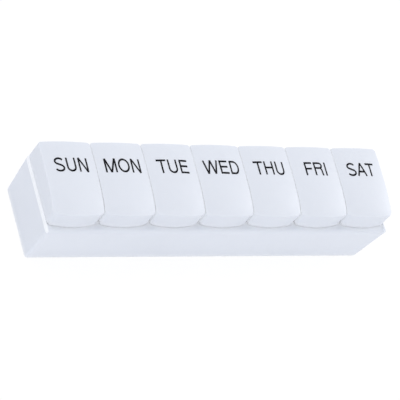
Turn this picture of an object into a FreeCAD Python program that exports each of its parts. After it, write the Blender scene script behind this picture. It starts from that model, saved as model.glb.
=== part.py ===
import FreeCAD, Part
import math
import os

# Weekly pill organizer: one moulded tray with seven wells, seven domed flip lids and one hinge rod.
# +X runs along the days, -Y is the front, +Z is up. The origin is the middle of the footprint.

V = FreeCAD.Vector
days = ["sun", "mon", "tue", "wed", "thu", "fri", "sat"]

# Tray
tray_length = 152.2       # over the top of the outer walls
tray_depth = 32.2         # front to back, over the top of the outer walls
tray_height = 21.7        # foot to the land that runs round the lids
wall_lean = 0.06          # how far the outer walls lean in per millimetre of depth
outer_wall = 1.4
deck_thickness = 1.5
deck_step = 0.6           # the middle of the deck and both end rims stand this far above the land
end_rim = 0.65            # width of the rim beside the end lids
corner_radius = 1.0       # upright corners
rim_radius = 1.4          # outer edge of the land, front and back
end_radius = 0.6          # outer edge of the end rims
foot_radius = 0.4

# Wells
well_width = 18.2
well_wall = 1.2
well_floor = 1.4
well_corner = 2.0
seat_margin = 1.0         # deck left in front of each well, for the lid's front corners
seat_overlap = 0.3        # how far the deck reaches under the front wall of a lid at its corners

# Lids
lid_gap = 0.06            # between neighbouring lids
lid_wall = 1.1
end_land = 0.3            # from the end of the tray to the end of the row of lids
front_ledge = 3.4         # from the tray's front edge to the front corners of a lid
back_overhang = 0.4       # how far the lids reach out past the tray's back edge, over the hinge
lid_bow = 1.4             # how far the middle of a lid's front stands out past its corners
lid_front_lean = 0.5      # how far the front leans back over its height
lid_side_lean = 0.35      # how far the foot of each side lies inside its top edge
lid_front_corner = 2.2    # upright corners, seen from above
lid_back_corner = 1.2
lid_edge_radius = 0.25    # round the top
lid_height_back = 9.3     # deck to crest
lid_height_crest = 9.7
lid_height_front = 8.3    # where the top starts to roll down to the front
lid_height_nose = 6.5
lid_nose = 1.8            # from the front corners back to the start of the roll
crown_back = 0.6          # how far the side edges lie below the crest
crown_front = 1.5
seat_clearance = 0.05     # under a closed lid
skirt_clearance = 0.15    # under the front of a lid, which reaches down in front of the deck
skirt_end_gap = 0.3       # from the end of a skirt to the foot of the lid's side

# Front catch
catch_width = 8.0
catch_height = 3.0        # of the boss that carries the tab, above the foot of the lid
catch_tab = 1.0
catch_clearance = 0.25    # tab to deck
catch_bead = 0.2

# Hinge
rod_diameter = 1.5
rod_head_diameter = 2.5
rod_head_length = 0.6
knuckle_radius = 1.4
knuckle_width = 6.5
knuckle_gap = 0.25        # beside a knuckle
hinge_gap = 0.15          # knuckle to the tray's back wall, and lug to the lid above it
open_angle = 110.0
stop_clearance = 0.1
heel_margin = 0.3         # stop heel past the swing of the lid's lower back edge
end_ear_width = 2.0
blind_end = 0.8
ear_fit = 0.02            # radial clearance of the rod in the tray
knuckle_fit = 0.08        # radial clearance of the rod in a lid

# Worked out from the values above
tray_front = -tray_depth / 2
tray_back = tray_depth / 2
lid_pitch = (tray_length - 2 * end_land + lid_gap) / len(days)
lid_half_width = (lid_pitch - lid_gap) / 2
lid_front = tray_front + front_ledge
lid_back = tray_back + back_overhang
deck_top = tray_height + deck_step
lid_foot = deck_top + seat_clearance
skirt_foot = tray_height + skirt_clearance
land_half_length = tray_length / 2 - end_rim
deck_front = lid_front + lid_wall - seat_overlap
deck_back = tray_back - rim_radius
well_front = deck_front + seat_margin
foot_inset = wall_lean * tray_height
well_back = tray_back - foot_inset - outer_wall
hinge_y = tray_back + hinge_gap + knuckle_radius
hinge_z = lid_foot - hinge_gap - knuckle_radius
rod_radius = rod_diameter / 2
heel_back = math.hypot(hinge_y - lid_back, lid_foot - hinge_z) + heel_margin
centre_shift = -(hinge_y + heel_back + tray_front) / 2


def day_x(index):
    return (index - (len(days) - 1) / 2) * lid_pitch


def box(x0, x1, y0, y1, z0, z1):
    return Part.makeBox(x1 - x0, y1 - y0, z1 - z0, V(x0, y0, z0))


def rod_along_x(radius, x0, x1):
    return Part.makeCylinder(radius, x1 - x0, V(x0, hinge_y, hinge_z), V(1, 0, 0))


def rectangle(half_length, front, back, z):
    corners = [
        V(-half_length, front, z),
        V(half_length, front, z),
        V(half_length, back, z),
        V(-half_length, back, z),
    ]
    return Part.makePolygon(corners + corners[:1])


def tapered_block(inset, z0, z1):
    """Block between two heights whose sides follow the leaning outer walls, moved in by inset."""
    wires = []
    for z in (z0, z1):
        away = inset + wall_lean * (tray_height - z)
        wires.append(rectangle(tray_length / 2 - away, tray_front + away, tray_back - away, z))
    return Part.makeLoft(wires, True, True)


def edges_at(shape, z):
    """Edges that lie wholly at one height."""
    level = []
    for edge in shape.Edges:
        limits = edge.BoundBox
        if abs(limits.ZMin - z) < 0.001 and abs(limits.ZMax - z) < 0.001:
            level.append(edge)
    return level


def upright_edges(shape, least):
    return [edge for edge in shape.Edges if edge.BoundBox.ZLength > least]


# Tray


def land_cut(inner, side):
    """What is taken off in front of the deck (side -1) or behind it (1): a level land, rounded outside."""
    lean = math.atan(wall_lean)
    centre = tray_back - rim_radius * (wall_lean + 1 / math.cos(lean))
    low = tray_height - rim_radius
    above = deck_top + 1
    arc = []
    for angle in (math.pi / 2, (math.pi / 2 - lean) / 2, -lean):
        arc.append(V(0, centre + rim_radius * math.cos(angle), low + rim_radius * math.sin(angle)))
    beyond = tray_back + 1
    rest = [
        arc[2],
        V(0, beyond, arc[2].z),
        V(0, beyond, above),
        V(0, inner, above),
        V(0, inner, tray_height),
        arc[0],
    ]
    wire = Part.Wire([Part.Arc(*arc).toShape()] + Part.makePolygon(rest).Edges)
    cut = Part.Face(wire).extrude(V(2 * land_half_length, 0, 0))
    cut = cut.translated(V(-land_half_length, 0, 0))
    return cut if side > 0 else cut.mirror(V(0, 0, 0), V(0, 1, 0))


def tray_outside():
    """The tray as one solid block, with its outer edges rounded."""
    block = tapered_block(0, 0, deck_top)
    block = block.makeFillet(corner_radius, upright_edges(block, tray_height / 2))
    block = block.makeFillet(end_radius, edges_at(block, deck_top))
    block = block.makeFillet(foot_radius, edges_at(block, 0))
    return block.cut([land_cut(-deck_front, -1), land_cut(deck_back, 1)])


def well_block(index):
    """Solid outside of one well, from the foot to the deck."""
    half = well_width / 2 + well_wall
    x = day_x(index)
    return box(x - half, x + half, well_front - well_wall, tray_back, 0, tray_height)


def under_hollow():
    """The space under the deck, open below: a channel at the front and slots between the wells."""
    under = tapered_block(outer_wall, 0, tray_height - deck_thickness)
    return under.cut([well_block(i) for i in range(len(days))])


def well_hollow(index):
    """Inside of one well, rounded at its upright corners and floor."""
    half = well_width / 2
    x = day_x(index)
    top = deck_top + well_corner
    hollow = box(x - half, x + half, well_front, well_back, well_floor, top)
    rounded = upright_edges(hollow, tray_height / 2) + edges_at(hollow, well_floor)
    return hollow.makeFillet(well_corner, rounded)


def ear_spans():
    """Start and end, along X, of each lug that carries the rod."""
    reach = knuckle_width / 2 + knuckle_gap
    spans = [(day_x(0) - reach - end_ear_width, day_x(0) - reach)]
    for index in range(len(days) - 1):
        spans.append((day_x(index) + reach, day_x(index + 1) - reach))
    spans.append((day_x(len(days) - 1) + reach, day_x(len(days) - 1) + reach + end_ear_width))
    return spans


def heel_top():
    """Height of the stop heel above the axis: it meets the lid's back at open_angle."""
    angle = math.radians(open_angle)
    ahead = hinge_y - lid_back
    along = (heel_back + ahead * math.cos(angle)) / math.sin(angle)
    return ahead * math.sin(angle) + along * math.cos(angle) - stop_clearance


def ear(x0, x1):
    """Hinge lug: a barrel round the rod, a stop heel behind it and a web down to the back wall."""
    barrel = rod_along_x(knuckle_radius, x0, x1)
    root = tray_back - outer_wall
    back = hinge_y + heel_back
    top = hinge_z + heel_top()
    low = hinge_z - knuckle_radius / 2
    web = Part.makePolygon([
        V(x0, root, hinge_z),
        V(x0, hinge_y, top),
        V(x0, back, top),
        V(x0, back, low),
        V(x0, root, low - (back - root)),
        V(x0, root, hinge_z),
    ])
    web = Part.Face(web).extrude(V(x1 - x0, 0, 0))
    return barrel.fuse(web)


def make_tray():
    spans = ear_spans()
    tray = tray_outside().cut(under_hollow())
    tray = tray.fuse([ear(x0, x1) for x0, x1 in spans])
    tray = tray.cut([well_hollow(i) for i in range(len(days))])
    bore = rod_along_x(rod_radius + ear_fit, spans[0][0] + blind_end, spans[-1][1] + 1)
    return tray.cut(bore).removeSplitter()


# Lids


def lid_section(y, height, crown, inset):
    """Upright slice across a lid, wider than the lid: its curved top and a level foot."""
    wide = lid_half_width + 1
    foot = skirt_foot if inset == 0 else skirt_foot - 1
    top = deck_top + height - inset
    edge = top - crown * (wide / lid_half_width) ** 2
    corners = [V(-wide, y, foot), V(-wide, y, edge), V(wide, y, edge), V(wide, y, foot)]
    edges = [
        Part.LineSegment(corners[0], corners[1]).toShape(),
        Part.Arc(corners[1], V(0, y, top), corners[2]).toShape(),
        Part.LineSegment(corners[2], corners[3]).toShape(),
        Part.LineSegment(corners[3], corners[0]).toShape(),
    ]
    return Part.Wire(edges)


def arc_points(x, y, radius, start, finish):
    """Start, middle and end of a level arc about a point; angles in degrees."""
    points = []
    for angle in (start, (start + finish) / 2, finish):
        turn = math.radians(angle)
        points.append(V(x + radius * math.cos(turn), y + radius * math.sin(turn), 0))
    return points


def lid_plan(z, half, front, back, shrink):
    """Level outline of a lid: bowed front and four rounded corners, the corners smaller by shrink."""
    near = max(lid_front_corner - shrink, 0.3)
    far = max(lid_back_corner - shrink, 0.3)
    bow_radius = (half ** 2 + lid_bow ** 2) / (2 * lid_bow)
    bow_centre = front - lid_bow + bow_radius
    near_centre = bow_centre - math.sqrt((bow_radius - near) ** 2 - (half - near) ** 2)
    turn = math.degrees(math.asin((half - near) / (bow_radius - near)))
    arcs = [
        arc_points(half - far, back - far, far, 0, 90),
        arc_points(far - half, back - far, far, 90, 180),
        arc_points(near - half, near_centre, near, 180, 270 - turn),
        arc_points(0, bow_centre, bow_radius, 270 - turn, 270 + turn),
        arc_points(half - near, near_centre, near, 270 + turn, 360),
    ]
    edges = []
    last = arcs[-1][2]
    for points in arcs:
        if points[0].distanceToPoint(last) > 0.001:
            edges.append(Part.LineSegment(last, points[0]).toShape())
        edges.append(Part.Arc(*points).toShape())
        last = points[2]
    return Part.Wire(edges).translated(V(0, 0, z))


def lid_form(inset):
    """Solid shape of a lid, moved in by inset on every side but the foot."""
    depth = lid_back - lid_front
    beyond = 1.0
    rise = lid_height_crest - lid_height_front
    fall = crown_front - crown_back
    sections = [
        lid_section(lid_front - lid_bow - beyond, lid_height_nose, crown_front, inset),
        lid_section(lid_front + lid_nose, lid_height_front, crown_front, inset),
        lid_section(lid_front + depth * 0.35, lid_height_front + rise * 0.8, crown_front - fall * 0.4, inset),
        lid_section(lid_front + depth * 0.65, lid_height_crest, crown_front - fall * 0.7, inset),
        lid_section(lid_back + beyond, lid_height_back, crown_back, inset),
    ]
    dome = Part.makeLoft(sections, True, False)
    half = lid_half_width - inset
    front = lid_front + inset
    back = lid_back - inset
    low = skirt_foot if inset == 0 else skirt_foot - 1
    high = deck_top + lid_height_crest
    plans = [
        lid_plan(low, half - lid_side_lean, front, back, inset),
        lid_plan(high, half, front + lid_front_lean, back, inset),
    ]
    return dome.common(Part.makeLoft(plans, True, True))


def under_lid():
    """What is taken off the foot of a lid so that it can close on the deck, its front hanging lower."""
    half = lid_half_width + 1
    end = lid_half_width - lid_side_lean - skirt_end_gap
    front = lid_front - lid_bow - 1
    back = lid_back + 1
    low = skirt_foot - 1
    return [
        box(-half, half, deck_front - catch_clearance, back, low, lid_foot),
        box(-half, -end, front, back, low, lid_foot),
        box(end, half, front, back, low, lid_foot),
    ]


def lid_catch():
    """Tab on a boss inside the front of a lid, with the bead that rubs past the edge of the deck."""
    half = catch_width / 2
    back = deck_front - catch_clearance
    low = skirt_foot
    high = lid_foot + catch_height
    boss = box(-half, half, lid_front - lid_bow, back, lid_foot, high).common(lid_form(lid_wall / 2))
    tab = box(-half, half, back - catch_tab, back, low, high)
    bead = Part.makeCylinder(catch_bead, catch_width, V(-half, back, low + catch_bead), V(1, 0, 0))
    return boss.fuse([tab, bead])


def lid_knuckle():
    """Barrel round the rod and the web that joins it to the back of the lid."""
    half = knuckle_width / 2
    barrel = rod_along_x(knuckle_radius, -half, half)
    front = tray_back + hinge_gap
    slant = knuckle_radius * math.sqrt(0.5)
    web = Part.makePolygon([
        V(-half, front, hinge_z),
        V(-half, front, hinge_z + 2 * slant + hinge_y - front),
        V(-half, hinge_y + slant, hinge_z + slant),
        V(-half, hinge_y, hinge_z),
        V(-half, front, hinge_z),
    ])
    web = Part.Face(web).extrude(V(2 * half, 0, 0))
    return barrel.fuse(web)


def make_lid():
    """A lid in the middle of the row."""
    outside = lid_form(0)
    around = [edge for edge in outside.Edges if edge.BoundBox.ZMin > lid_foot + 1]
    outside = outside.makeFillet(lid_edge_radius, around)
    lid = outside.cut([lid_form(lid_wall)] + under_lid())
    lid = lid.fuse([lid_catch(), lid_knuckle()])
    lid = lid.cut(rod_along_x(rod_radius + knuckle_fit, -knuckle_width, knuckle_width))
    return lid.removeSplitter()


# Rod


def make_rod():
    """Straight rod with a flat head at its right-hand end."""
    spans = ear_spans()
    shank = rod_along_x(rod_radius, spans[0][0] + blind_end + ear_fit, spans[-1][1] + ear_fit)
    head_start = spans[-1][1] + ear_fit
    head = rod_along_x(rod_head_diameter / 2, head_start, head_start + rod_head_length)
    return shank.fuse(head).removeSplitter()


def save(name, shape, x=0):
    placed = shape.translated(V(x, centre_shift, 0))
    print(name, "solids", len(placed.Solids), "valid", placed.isValid(), "volume", round(placed.Volume, 1))
    placed.exportStep("parts/" + name + ".step")


os.makedirs("parts", exist_ok=True)
save("tray", make_tray())
save("hinge_rod", make_rod())
lid = make_lid()
for number, day in enumerate(days):
    save("lid_" + day, lid, day_x(number))
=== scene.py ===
import math
import bpy
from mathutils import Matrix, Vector


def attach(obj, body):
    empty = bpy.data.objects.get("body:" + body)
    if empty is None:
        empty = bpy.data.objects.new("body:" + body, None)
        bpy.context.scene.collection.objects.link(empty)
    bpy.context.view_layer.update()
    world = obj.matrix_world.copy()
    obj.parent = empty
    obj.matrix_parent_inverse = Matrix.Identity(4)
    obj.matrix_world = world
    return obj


# Weekly pill organizer: a tray and seven lids in frosted plastic, with the day names printed on the lids
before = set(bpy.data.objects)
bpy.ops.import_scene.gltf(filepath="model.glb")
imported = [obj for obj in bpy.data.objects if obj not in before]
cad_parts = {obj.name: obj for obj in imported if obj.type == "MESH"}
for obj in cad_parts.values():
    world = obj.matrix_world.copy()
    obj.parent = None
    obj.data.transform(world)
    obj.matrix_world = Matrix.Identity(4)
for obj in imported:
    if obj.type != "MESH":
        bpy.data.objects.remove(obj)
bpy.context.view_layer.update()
mm = 0.001
days = ["sun", "mon", "tue", "wed", "thu", "fri", "sat"]
print("frame loaded:", len(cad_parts), "nodes")


def linear(hexCode):
    channels = [int(hexCode[i:i + 2], 16) / 255 for i in (1, 3, 5)]
    return [c / 12.92 if c <= 0.04045 else ((c + 0.055) / 1.055) ** 2.4 for c in channels] + [1]


def addNode(tree, kind, settings={}, links={}):
    node = tree.nodes.new(kind)
    for name, value in settings.items():
        if hasattr(node, name):
            setattr(node, name, value)
        else:
            node.inputs[name].default_value = value
    for name, source in links.items():
        tree.links.new(source, node.inputs[name])
    return node


def deselect():
    if bpy.context.object and bpy.context.object.mode != "OBJECT":
        bpy.ops.object.mode_set(mode="OBJECT")
    bpy.ops.object.select_all(action="DESELECT")


camera = {
    "place": (-0.48605, -0.38643, 0.68554),
    "turn": (0.593291, -0.482451, -0.294866),
    "lens": 214.576,
    "clipStart": 0.05,
}


def addCamera(c):
    deselect()
    bpy.ops.object.camera_add(location=c["place"], rotation=c["turn"])
    view = bpy.context.object
    view.data.lens = c["lens"]
    view.data.clip_start = c["clipStart"]
    bpy.context.scene.camera = view


addCamera(camera)
bpy.context.scene.view_settings.view_transform = "Standard"
print("camera set")

# A bright white room with three soft lamps: the strongest low on the right, one high behind, one in front
studio = {
    "roomColor": "#FCFDFF",
    "roomStrength": 0.87,
    "lamps": {
        "keyLamp": {"place": (1.05, 0.2, 0.35), "size": 0.5, "power": 3.0},
        "backLamp": {"place": (-0.3, 0.45, 0.95), "size": 0.4, "power": 1.3},
        "frontLamp": {"place": (-0.5, -1.0, 0.08), "size": 0.6, "power": 2.3},
    },
}


# 1 on a ray that the camera sees, straight or through a reflection, else 0
def seenRay(tree):
    ray = addNode(tree, "ShaderNodeLightPath").outputs
    larger = {"operation": "MAXIMUM"}
    bounces = {0: ray["Is Glossy Ray"], 1: ray["Is Transmission Ray"]}
    bounced = addNode(tree, "ShaderNodeMath", larger, bounces)
    seen = addNode(tree, "ShaderNodeMath", larger, {0: ray["Is Camera Ray"], 1: bounced.outputs[0]})
    return seen.outputs[0]


def addLamp(name, lamp):
    place = Vector(lamp["place"])
    bpy.ops.object.light_add(type="AREA", location=place, rotation=place.to_track_quat("Z", "Y").to_euler())
    light = bpy.context.object
    light.name = name
    light.data.size = lamp["size"]
    light.data.energy = lamp["power"]


def lightStudio(s):
    deselect()
    world = bpy.data.worlds.new("whiteRoom")
    world.use_nodes = True
    bpy.context.scene.world = world
    tree = world.node_tree
    tree.nodes.clear()
    light = {"Color": linear(s["roomColor"]), "Strength": s["roomStrength"]}
    room = addNode(tree, "ShaderNodeBackground", light)
    seen = addNode(tree, "ShaderNodeBackground", {"Color": (1, 1, 1, 1), "Strength": 1.0})
    mix = addNode(tree, "ShaderNodeMixShader", links={"Fac": seenRay(tree)})
    tree.links.new(room.outputs[0], mix.inputs[1])
    tree.links.new(seen.outputs[0], mix.inputs[2])
    addNode(tree, "ShaderNodeOutputWorld", links={"Surface": mix.outputs[0]})
    for name, lamp in s["lamps"].items():
        addLamp(name, lamp)


lightStudio(studio)

floor = {
    "size": 6.0,
    "drop": 0.02 * mm,        # below the foot of the tray, so that the two faces don't fight
    "color": "#F4F5F7",
    "glow": 1.04,             # what the camera sees is mostly this, a little over white
    "shadowShare": 0.15,      # the rest is the lit floor, which keeps the shadow
}


def addFloor(f):
    deselect()
    bpy.ops.mesh.primitive_plane_add(size=f["size"], location=(0, 0, -f["drop"]))
    ground = bpy.context.object
    ground.name = "floor"
    paint = bpy.data.materials.new("palePaint")
    paint.use_nodes = True
    tree = paint.node_tree
    tree.nodes.clear()
    matt = addNode(tree, "ShaderNodeBsdfDiffuse", {"Color": linear(f["color"])})
    glow = addNode(tree, "ShaderNodeEmission", {"Color": (1, 1, 1, 1), "Strength": f["glow"]})
    share = addNode(tree, "ShaderNodeMath", {"operation": "MULTIPLY"}, {0: seenRay(tree)})
    share.inputs[1].default_value = 1 - f["shadowShare"]
    mix = addNode(tree, "ShaderNodeMixShader", links={"Fac": share.outputs[0]})
    tree.links.new(matt.outputs[0], mix.inputs[1])
    tree.links.new(glow.outputs[0], mix.inputs[2])
    addNode(tree, "ShaderNodeOutputMaterial", links={"Surface": mix.outputs[0]})
    ground.data.materials.append(paint)


addFloor(floor)
print("stage and light set")

# Frosted polypropylene, injection moulded in a spark-eroded tool: soft sheen, light glows a little way in
polypropylene = {
    "trayColor": "#E2E6EF",
    "lidColor": "#E0E4ED",
    "colorSpread": 0.015,     # paler and darker by this in the ripples
    "roughness": 0.42,
    "roughnessSpread": 0.04,
    "ior": 1.49,
    "glow": 0.25,             # share of light that goes in and comes out again
    "glowReach": 1.5 * mm,
    "grainSize": 0.35 * mm,   # real spark grain is near 0.05 mm and would not show
    "grainDepth": 0.012 * mm,
    "sinkSize": 9 * mm,       # broad ripples where thick and thin walls cool unevenly
    "sinkDepth": 0.05 * mm,
    "paintedGapLightColor": "#FDFEFF",    # painted light: paler in narrow gaps, standing in for light that comes through their walls
    "paintedGapLightReach": 3 * mm,
    "paintedGapLightShare": 0.9,
    "paintedRimHighlightColor": "#F6F9FF",    # painted highlight: paler on the thin rims at the ends of the tray
    "rimSide": 75.2 * mm,     # a rim is beyond this from the middle of the tray, and above the foot
    "rimFoot": 20.6 * mm,
    "rimFade": 0.4 * mm,
}


# Mask for painted light: towards 1 in a narrow gap, 0 in the open; the base colour is made paler there
# against the shade of the gap
def paintedGapLightMask(tree, p):
    shelter = addNode(tree, "ShaderNodeAmbientOcclusion", {"samples": 8, "Distance": p["paintedGapLightReach"]})
    limits = {"From Min": 1.0, "From Max": 0.0, "To Max": p["paintedGapLightShare"]}
    return addNode(tree, "ShaderNodeMapRange", limits, {"Value": shelter.outputs["AO"]})


# Painted highlight mask: 1 on the thin rims at the ends of the tray, 0 elsewhere
def paintedRimHighlightMask(tree, place, p):
    axes = addNode(tree, "ShaderNodeSeparateXYZ", links={0: place}).outputs
    side = addNode(tree, "ShaderNodeMath", {"operation": "ABSOLUTE"}, {0: axes["X"]})
    sideLimits = {"From Min": p["rimSide"], "From Max": p["rimSide"] + p["rimFade"]}
    footLimits = {"From Min": p["rimFoot"], "From Max": p["rimFoot"] + p["rimFade"]}
    out = addNode(tree, "ShaderNodeMapRange", sideLimits, {"Value": side.outputs[0]})
    up = addNode(tree, "ShaderNodeMapRange", footLimits, {"Value": axes["Z"]})
    return addNode(tree, "ShaderNodeMath", {"operation": "MULTIPLY"}, {0: out.outputs[0], 1: up.outputs[0]})


# Mixes two shades of one colour by a pattern: darker and paler are factors.
# A colour mix takes its colours at inputs 6 and 7 and gives the result at output 2.
def shadeColor(tree, pattern, color, darker, paler):
    shade = addNode(tree, "ShaderNodeMix", {"data_type": "RGBA"}, {"Factor": pattern.outputs["Fac"]})
    tint = linear(color)
    shade.inputs[6].default_value = [c * darker for c in tint[:3]] + [1]
    shade.inputs[7].default_value = [min(c * paler, 1) for c in tint[:3]] + [1]
    return shade


def polypropyleneMaterial(name, p, color, rims):
    plastic = bpy.data.materials.new(name)
    plastic.use_nodes = True
    tree = plastic.node_tree
    shader = tree.nodes["Principled BSDF"]
    shader.inputs["IOR"].default_value = p["ior"]
    shader.inputs["Subsurface Weight"].default_value = p["glow"]
    shader.inputs["Subsurface Radius"].default_value = (1.0, 1.0, 1.0)
    shader.inputs["Subsurface Scale"].default_value = p["glowReach"]
    place = addNode(tree, "ShaderNodeTexCoord").outputs["Object"]
    ripples = addNode(tree, "ShaderNodeTexNoise", {"Scale": 1 / p["sinkSize"]}, {"Vector": place})
    grain = addNode(tree, "ShaderNodeTexNoise", {"Scale": 1 / p["grainSize"]}, {"Vector": place})
    shade = shadeColor(tree, ripples, p[color], 1 - p["colorSpread"], 1 + p["colorSpread"])
    # Painted light: paler base colour in narrow gaps, and on the tray a painted highlight along its end
    # rims
    paintedLightMasks = {p["paintedGapLightColor"]: paintedGapLightMask(tree, p)}
    # only the tray gets the painted highlight on its end rims
    if rims:
        paintedLightMasks[p["paintedRimHighlightColor"]] = paintedRimHighlightMask(tree, place, p)
    for pale, mask in paintedLightMasks.items():
        paler = addNode(tree, "ShaderNodeMix", {"data_type": "RGBA"}, {"Factor": mask.outputs[0]})
        paler.inputs[7].default_value = linear(pale)
        tree.links.new(shade.outputs[2], paler.inputs[6])
        shade = paler
    tree.links.new(shade.outputs[2], shader.inputs["Base Color"])
    rough, spread = p["roughness"], p["roughnessSpread"]
    limits = {"To Min": rough - spread, "To Max": rough + spread}
    sheen = addNode(tree, "ShaderNodeMapRange", limits, {"Value": grain.outputs["Fac"]})
    tree.links.new(sheen.outputs[0], shader.inputs["Roughness"])
    wide = addNode(tree, "ShaderNodeBump", {"Distance": p["sinkDepth"]}, {"Height": ripples.outputs["Fac"]})
    fine = addNode(tree, "ShaderNodeBump", {"Distance": p["grainDepth"]}, {"Height": grain.outputs["Fac"]})
    tree.links.new(wide.outputs[0], fine.inputs["Normal"])
    tree.links.new(fine.outputs[0], shader.inputs["Normal"])
    return plastic


trayPlastic = polypropyleneMaterial("frostedPolypropyleneTray", polypropylene, "trayColor", rims=True)
lidPlastic = polypropyleneMaterial("frostedPolypropyleneLid", polypropylene, "lidColor", rims=False)


def dress(node, material):
    node.data.materials.clear()
    node.data.materials.append(material)


for name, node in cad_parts.items():
    dress(node, lidPlastic if name.startswith("lid") else trayPlastic)
print("plastic on the tray and lids")

# Pad-printed black ink: a thin film, dead matt, hardly any shine
ink = {
    "color": "#0D0E15",
    "speckSize": 0.4 * mm,
    "darker": 0.8,
    "paler": 1.3,
    "roughness": 0.7,
    "sheen": 0.12,
}


def inkMaterial(i):
    black = bpy.data.materials.new("padPrintInk")
    black.use_nodes = True
    tree = black.node_tree
    shader = tree.nodes["Principled BSDF"]
    place = addNode(tree, "ShaderNodeTexCoord").outputs["Object"]
    pattern = {"Scale": 1 / i["speckSize"], "Detail": 3.0}
    specks = addNode(tree, "ShaderNodeTexNoise", pattern, {"Vector": place})
    shade = shadeColor(tree, specks, i["color"], i["darker"], i["paler"])
    tree.links.new(shade.outputs[2], shader.inputs["Base Color"])
    shader.inputs["Roughness"].default_value = i["roughness"]
    shader.inputs["Specular IOR Level"].default_value = i["sheen"]
    return black


# Day names, printed on the lids: plain upright capitals of one line weight, drawn as the paths of a pen.
# The paths are in cap heights, from the lower left corner of each letter.
lettering = {
    "capHeight": 5.75 * mm,
    "condense": 0.87,
    "weight": 0.135,          # width of a line, in cap heights
    "fromFront": 20.6 * mm,
    "aside": 0.2 * mm,        # to the right of the middle of the lid
    "drop": 60 * mm,          # height from which the word drops on the lid
    "film": 0.04 * mm,
    "standing": 0.5,          # -1 puts the film into the lid, 1 on top of it: 0.5 leaves a quarter of it in
    "step": 0.1,              # between the points that let a line bend with the lid, in cap heights
    "bendStep": 12,           # between the points of a round stretch, in degrees
    "tilt": 90,               # lays the ribbons flat, face up
}
pen = lettering["weight"] / 2


# Points along part of an ellipse, angles in degrees
def bend(x, y, wide, high, start, finish):
    count = max(2, round(abs(finish - start) / lettering["bendStep"]))
    points = []
    for i in range(count + 1):
        angle = math.radians(start + (finish - start) * i / count)
        points.append((x + wide * math.cos(angle), y + high * math.sin(angle)))
    return points


def upright(x, low=0.0, high=1.0):
    return [(x, low), (x, high)]


def level(y, left, right):
    return [(left, y), (right, y)]


# Each letter: room to its left, its own width, room to its right, and its paths
top = 1 - pen
letters = {
    "A": (0.02, 0.89, 0.02, [[(0.055, 0), (0.445, 1)], [(0.445, 1), (0.835, 0)], level(0.33, 0.18, 0.71)]),
    "D": (0.11, 0.83, 0.07, [
        upright(pen),
        level(top, pen, 0.38) + bend(0.38, 0.5, 0.45 - pen, top - 0.5, 90, -90) + level(pen, 0.38, pen),
    ]),
    "E": (0.12, 0.74, 0.07, [
        upright(pen),
        level(top, pen, 0.72),
        level(0.53, pen, 0.69),
        level(pen, pen, 0.74),
    ]),
    "F": (0.12, 0.69, 0.04, [upright(pen), level(top, pen, 0.69), level(0.5, pen, 0.62)]),
    "H": (0.11, 0.79, 0.11, [upright(pen), upright(0.79 - pen), level(0.53, pen, 0.79 - pen)]),
    "I": (0.13, 0.12, 0.13, [upright(pen)]),
    "M": (0.10, 0.96, 0.10, [
        upright(pen),
        upright(0.96 - pen),
        [(pen + 0.02, 1), (0.48, 0)],
        [(0.48, 0), (0.94 - pen, 1)],
    ]),
    "N": (0.11, 0.79, 0.11, [upright(pen), upright(0.79 - pen), [(pen + 0.01, 1), (0.78 - pen, 0)]]),
    "O": (0.05, 0.97, 0.05, [bend(0.485, 0.5, 0.485 - pen, 0.515 - pen, 0, 360)]),
    "R": (0.12, 0.83, 0.05, [
        upright(pen),
        level(top, pen, 0.5)
        + bend(0.5, 0.745, 0.27 - pen / 2, top - 0.745, 90, -90)
        + level(1.49 - top, 0.5, pen),
        bend(0.49, 0.35, 0.2, 0.2, 70, 0) + [(0.70, 0.14), (0.735, 0)],
    ]),
    "S": (0.07, 0.80, 0.06, [
        bend(0.40, 0.745, 0.38 - pen, 0.27 - pen, 22, 245)
        + bend(0.40, 0.265, 0.40 - pen, 0.28 - pen, 65, -160),
    ]),
    "T": (0.02, 0.81, 0.02, [level(top, 0, 0.81), upright(0.405)]),
    "U": (0.11, 0.79, 0.11, [
        [(pen, 1)] + bend(0.395, 0.33, 0.395 - pen, 0.345 - pen, 180, 360) + [(0.79 - pen, 1)],
    ]),
    "W": (0.02, 1.27, 0.02, [
        [(0.055, 1), (0.33, 0)],
        [(0.33, 0), (0.635, 1)],
        [(0.635, 1), (0.94, 0)],
        [(0.94, 0), (1.215, 1)],
    ]),
}


# The path with points added, so that none of its stretches is longer than step
def finePath(path, step):
    points = [Vector(path[0])]
    for corner in path[1:]:
        corner = Vector(corner)
        count = math.ceil((corner - points[-1]).length / step)
        start = points[-1]
        points += [start.lerp(corner, (i + 1) / count) for i in range(count)]
    return points


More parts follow.
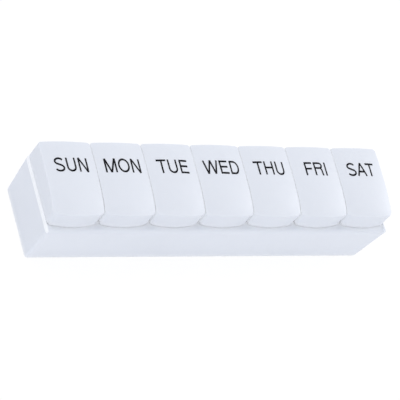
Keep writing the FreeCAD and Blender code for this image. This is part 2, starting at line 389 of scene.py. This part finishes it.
# Every line of a word in turn, and the width of the whole word, in cap heights
def wordPaths(word):
    paths = []
    x = -letters[word[0]][0]
    for letter in word:
        left, width, right, lines = letters[letter]
        for line in lines:
            paths.append([(x + left + px, py) for px, py in line])
        x += left + width + right
    return paths, x - right


# The word flat above the lids, one ribbon for each line of the pen
def drawWord(word, place, t):
    lines = bpy.data.curves.new("dayName" + word.capitalize(), "CURVE")
    lines.dimensions = "3D"
    lines.twist_mode = "Z_UP"
    lines.extrude = t["weight"] / 2
    paths, width = wordPaths(word)
    for path in paths:
        points = finePath(path, t["step"])
        line = lines.splines.new("POLY")
        line.points.add(len(points) - 1)
        for spot, point in zip(line.points, points):
            spot.co = (point.x - width / 2, point.y - 0.5, 0, 1)
            spot.tilt = math.radians(t["tilt"])
    text = bpy.data.objects.new(lines.name, lines)
    bpy.context.scene.collection.objects.link(text)
    deselect()
    text.select_set(True)
    bpy.context.view_layer.objects.active = text
    bpy.ops.object.convert(target="MESH")
    text = bpy.context.object
    text.location = place
    text.scale = (t["capHeight"] * t["condense"], t["capHeight"], 1)
    bpy.ops.object.transform_apply(location=True, rotation=True, scale=True)
    return text


def finishWith(piece, kind, settings):
    step = piece.modifiers.new(kind.lower(), kind)
    for name, value in settings.items():
        setattr(step, name, value)
    bpy.ops.object.modifier_apply(modifier=step.name)


def printDay(index, word, material, t):
    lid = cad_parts["lid_" + days[index]]
    corners = [lid.matrix_world @ Vector(c) for c in lid.bound_box]
    middle = sum(c.x for c in corners) / 8 + t["aside"]
    text = drawWord(word, (middle, min(c.y for c in corners) + t["fromFront"], t["drop"]), t)
    finishWith(text, "SHRINKWRAP", {
        "target": lid,
        "wrap_method": "PROJECT",
        "use_project_z": True,
        "use_positive_direction": False,
        "use_negative_direction": True,
    })
    finishWith(text, "SOLIDIFY", {"thickness": t["film"], "offset": t["standing"]})
    text.data.materials.append(material)
    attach(text, "lid_" + days[index])


blackInk = inkMaterial(ink)
for index, day in enumerate(days):
    printDay(index, day.upper(), blackInk, lettering)
print("day names printed")

deselect()
